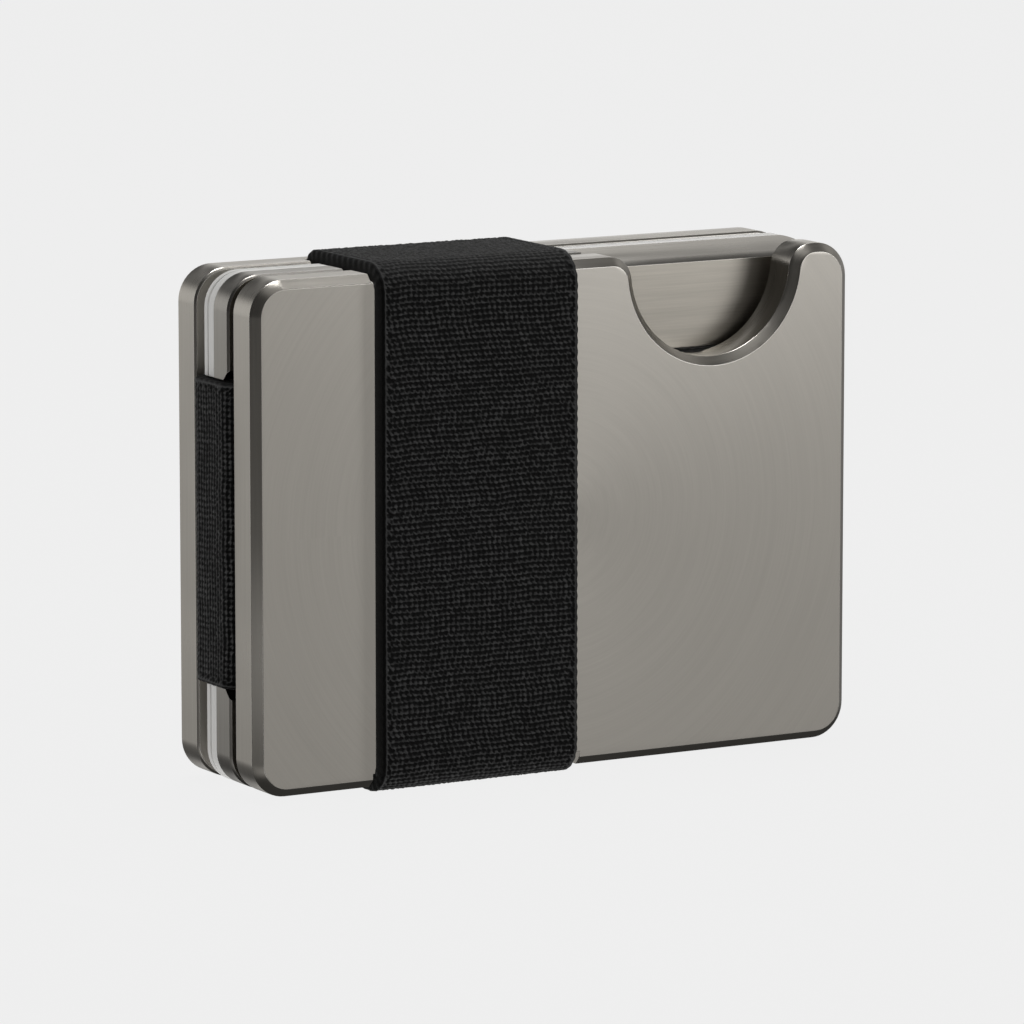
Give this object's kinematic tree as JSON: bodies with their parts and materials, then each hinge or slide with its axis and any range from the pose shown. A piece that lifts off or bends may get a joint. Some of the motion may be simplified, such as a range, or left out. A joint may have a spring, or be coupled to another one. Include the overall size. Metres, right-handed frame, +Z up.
{
  "type": "minimalist card wallet",
  "caption": "Slim metal card wallet: brushed plates and cards clamped by a wide woven elastic loop, with a half-round thumb notch in the front plate.",
  "frame": {"origin": "middle of the whole wallet in X and Y, at the underside of the outer elastic loop, on which it stands", "axes": "+X along the wallet towards the thumb notch, +Y from the notched front to the back, +Z up"},
  "size_m": [0.09, 0.0244, 0.0682],
  "materials": {
    "plate": "brushed titanium grey",
    "card": "satin pale grey",
    "elastic": "black woven elastic",
    "thread": "black sewing thread"
  },
  "bodies": {
    "back": {"back_plate": "plate", "outer_band": "elastic", "outer_band_stitching": "thread"},
    "front": {"front_plate": "plate"},
    "middle": {"middle_plate": "plate", "front_card": "card", "rear_card": "card", "inner_band": "elastic", "inner_band_stitching": "thread"}
  },
  "joints": [
    {"name": "front_spread", "type": "slide", "parent": "back", "child": "front", "axis": [0, -1, 0], "range_m": [0, 0.004], "stiffness_N_per_m": 1500, "springref_m": -0.004, "deforming": ["outer_band"]},
    {"name": "middle_slide", "type": "slide", "parent": "back", "child": "middle", "axis": [1, 0, 0], "range_m": [0, 0.046], "deforming": ["outer_band"]}
  ]
}
